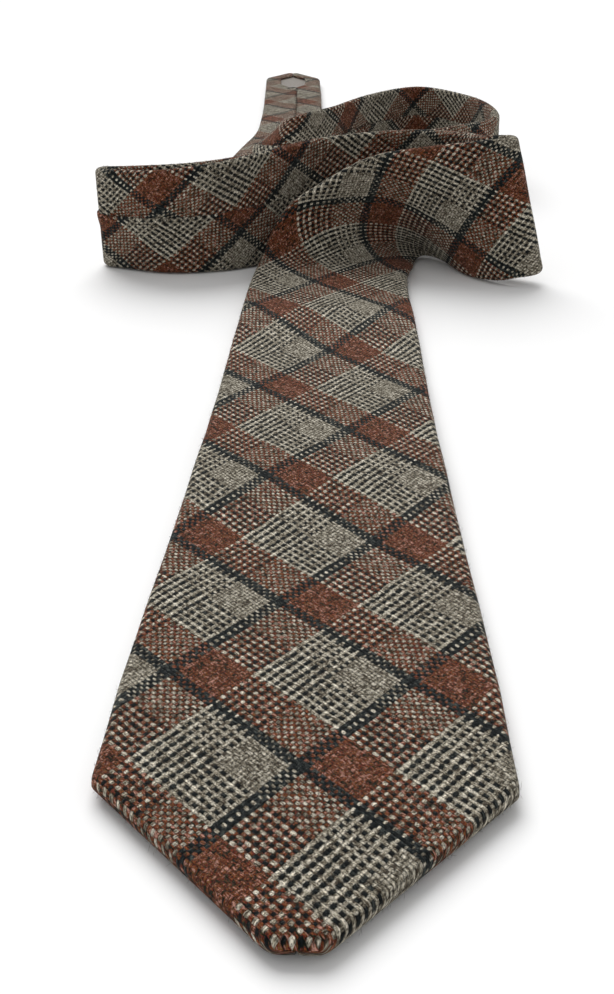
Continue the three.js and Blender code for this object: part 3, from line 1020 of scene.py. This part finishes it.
# Slip stitches over the lip of the lapped back seam.
def makeSlipStitch():
    rows = np.arange(stitch["start"], stitch["end"], stitch["pitch"])
    share = np.linspace(0, 1, len(stitch["over"]))
    for run, nodes in zip(runs, stitchNodes):
        first = run["start"] + stitch["margin"]
        last = run["end"] - stitch["slant"] - stitch["margin"]
        inside = rows[(rows > first) & (rows < last)]
        paths = np.zeros((len(inside), len(share), 3))
        paths[:, :, 0] = inside[:, None] + stitch["slant"] * share
        paths[:, :, 1:] = np.array(stitch["over"])
        paths[:, :, 1] += stitch["wander"] * np.sin(inside * stitch["wanderRate"])[:, None]
        piece = tubePiece(run["name"] + "_slip_stitch", paths, threadLook["radius"], 8)
        piece.data.materials.append(threadMaterial)
        bendPiece(piece)
        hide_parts(*nodes)


tacks = [
    {"node": "bar_tack_blade", "body": "blade", "station": 0.1136},
    {"node": "bar_tack_tail", "body": "tail", "station": tieLength - 0.0756},
]
tackLook = {
    "length": 0.009, "width": 0.0016, "strands": 11, "radius": 0.00012,
    "reach": 0.0012,          # how wide a dip in the seam the strands bridge
    "tuck": 0.0005, "wander": 0.00006,
}


# Bar tacks: strands side by side across the seam, at the end of each opening.
def makeTacks():
    places = np.linspace(-0.5, 0.5, 19) * tackLook["length"]
    rows = np.linspace(-0.5, 0.5, tackLook["strands"]) * tackLook["width"]
    for tack in tacks:
        stations = tack["station"] + rows
        relief = bridged(backAt(stations, places), places, tackLook["reach"]).min(0)
        tuck = tackLook["tuck"] * np.abs(2 * places / tackLook["length"]) ** 8
        wander = tackLook["wander"] * np.sin(places * 2500 + rows[:, None] * 9000)
        paths = np.zeros((len(rows), len(places), 3))
        paths[:, :, 0] = stations[:, None] + wander
        paths[:, :, 1] = places
        paths[:, :, 2] = relief - tackLook["radius"] + tuck
        piece = tubePiece(tack["node"] + "_thread", paths, tackLook["radius"], 8)
        piece.data.materials.append(threadMaterial)
        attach(piece, tack["body"])
        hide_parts(tack["node"])


makeSlipStitch()
makeTacks()
print("stitching made")

keeper = {
    "station": 0.206, "width": 0.017, "length": 0.058,
    "layer": 0.0009, "standOff": 0.00025, "reach": 0.008, "bow": 0.0006,
}
labelLook = {
    "layer": 0.00035, "standOff": 0.00018, "reach": 0.003, "bow": 0.0,
    "roughness": 0.4, "sheen": 0.2, "pitch": 0.3, "slant": 0.0, "patch": 0.1, "relief": 0.00004,
    "colours": [(0.0, (0.36, 0.33, 0.27)), (0.5, (0.58, 0.54, 0.46)), (1.0, (0.74, 0.70, 0.62))],
}
labels = [
    {"node": "maker_label", "start": 0.222, "end": 0.242, "length": 0.046},
    {"node": "care_label", "start": 0.252, "end": 0.282, "length": 0.018},
]


def makeKeeper():
    start, end = (keeper["station"] + side * keeper["width"] / 2 for side in (-1, 1))
    piece = backSheet("keeper_loop_band", start, end, keeper["length"], keeper)
    piece.data.materials.append(tweedMaterial)
    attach(piece, "blade")
    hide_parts("keeper_loop")


def makeLabels():
    material = makeGrain("labelSatin", labelLook)
    for label in labels:
        name = label["node"] + "_cloth"
        piece = backSheet(name, label["start"], label["end"], label["length"], labelLook)
        piece.data.materials.append(material)
        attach(piece, "blade")
        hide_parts(label["node"])


makeKeeper()
makeLabels()
print("keeper loop and labels made")

# Loose wool fibres that stand off the cloth, thicker along its folded edges. Each starts a little
# inside the cloth.
fuzz = {
    "perMetre": 11000, "length": (0.0004, 0.0013), "radius": 0.000022, "steps": 5, "margin": 0.001,
    "edgeShare": 0.4, "edgeSpread": 2.6, "widestShare": 0.72,
    "rooted": 0.0001, "rise": 0.6, "riseStart": 1.3, "riseLoss": 0.5,
    "lean": 0.8, "curl": 0.5, "sideways": 0.6,
}


# A table's values between its columns, one column for each row.
def betweenColumns(table, column):
    rows, low = np.arange(len(table)), column.astype(int)
    part = column - low
    return table[rows, low] * (1 - part) + table[rows, low + 1] * part


def makeFuzz():
    chance = np.random.default_rng(31)
    for run, nodes in zip(runs, clothNodes):
        count = int(fuzz["perMetre"] * (run["end"] - run["start"]))
        first, last = run["start"] + fuzz["margin"], run["end"] - fuzz["margin"]
        stations = np.sort(chance.uniform(first, last, count))
        x, y, _ = clothOutline(stations)
        half = x.shape[1] // 2
        widest = half * fuzz["widestShare"]
        column = chance.uniform(-widest, widest, count)
        atEdge = chance.random(count) < fuzz["edgeShare"]
        fromEdge = chance.normal(0, fuzz["edgeSpread"], count)
        edgeColumn = np.sign(column) * (faceSteps + edgeSteps // 2 + fromEdge)
        column = half + np.where(atEdge, edgeColumn, column)
        column = np.clip(column, 1, x.shape[1] - 2.01)
        rootX, rootY = betweenColumns(x, column), betweenColumns(y, column)
        rows, low = np.arange(count), column.astype(int)
        runX, runY = (table[rows, low + 1] - table[rows, low] for table in (x, y))
        size = np.maximum(np.hypot(runX, runY), 1e-9)
        outX, outY = -runY / size, runX / size
        length = chance.uniform(*fuzz["length"], count)
        lean = chance.normal(0, fuzz["lean"], (2, count))
        curl = chance.normal(0, fuzz["curl"], (2, count))
        paths = np.zeros((count, fuzz["steps"], 3))
        for step, share in enumerate(np.linspace(0, 1, fuzz["steps"])):
            rise = fuzz["rise"] * share * (fuzz["riseStart"] - fuzz["riseLoss"] * share)
            out = tie["cloth"] / 2 - fuzz["rooted"] + length * rise
            sway = length * (lean * share + curl * share * share)
            aside = sway[1] * fuzz["sideways"]
            paths[:, step, 0] = np.clip(stations + sway[0], run["start"], run["end"])
            paths[:, step, 1] = rootX + outX * out - outY * aside
            paths[:, step, 2] = rootY + outY * out + outX * aside
        piece = tubePiece(run["name"] + "_fibres", paths, fuzz["radius"], 3)
        piece.data.materials.append(tweedMaterial)
        bendPiece(piece)
        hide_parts(nodes[0])


makeFuzz()
print("loose fibres made")

# Studio: a pale table top, an even white surround and one broad soft light from above.
studio = {
    "floor": (0.94, 0.94, 0.94), "floorSize": 14, "floorPlace": (0, 3, 0), "floorRoughness": 0.6,
    "surround": 0.56, "key": 2.3, "keyAngle": 50, "keyTurn": (-38, -14, 0),     # degrees
}


def makeStudio():
    bpy.ops.mesh.primitive_plane_add(size=studio["floorSize"], location=studio["floorPlace"])
    floor = bpy.context.object
    floor.name = "tableTop"
    material, _, shader = newMaterial("paleTable", studio["floorRoughness"])
    shader.inputs["Base Color"].default_value = (*studio["floor"], 1)
    floor.data.materials.append(material)
    world = bpy.data.worlds.new("surround")
    world.use_nodes = True
    background = world.node_tree.nodes["Background"]
    background.inputs["Color"].default_value = (1, 1, 1, 1)
    background.inputs["Strength"].default_value = studio["surround"]
    bpy.context.scene.world = world
    light = bpy.data.lights.new("softKey", "SUN")
    light.energy = studio["key"]
    light.angle = math.radians(studio["keyAngle"])
    key = bpy.data.objects.new("softKey", light)
    key.rotation_euler = [math.radians(turn) for turn in studio["keyTurn"]]
    bpy.context.scene.collection.objects.link(key)
    bpy.context.scene.view_settings.view_transform = "Standard"


makeStudio()

# Camera: low, close to the blade's point, looking along the tie. Angles are in degrees, the focal
# length and the sensor in millimetres.
lens = {
    "place": (0.01001, -0.63363, 0.17206), "down": 26.08, "turn": 1.43, "roll": 0.51,
    "focal": 48.8, "sensor": 36, "farthest": 50,
}


def makeCamera():
    down, turn, roll = (math.radians(lens[name]) for name in ("down", "turn", "roll"))
    ahead = Vector((-math.sin(turn), math.cos(turn), 0))
    right = Vector((math.cos(turn), math.sin(turn), 0))
    forward = ahead * math.cos(down) - Vector((0, 0, math.sin(down)))
    up = right.cross(forward)
    sideways = right * math.cos(roll) + up * math.sin(roll)
    upward = up * math.cos(roll) - right * math.sin(roll)
    data = bpy.data.cameras.new("camera")
    data.lens = lens["focal"]
    data.sensor_width = lens["sensor"]
    data.clip_end = lens["farthest"]
    camera = bpy.data.objects.new("camera", data)
    turned = Matrix((sideways, upward, -forward)).transposed().to_4x4()
    camera.matrix_world = Matrix.Translation(lens["place"]) @ turned
    bpy.context.scene.collection.objects.link(camera)
    bpy.context.scene.camera = camera


makeCamera()
print("studio and camera set")
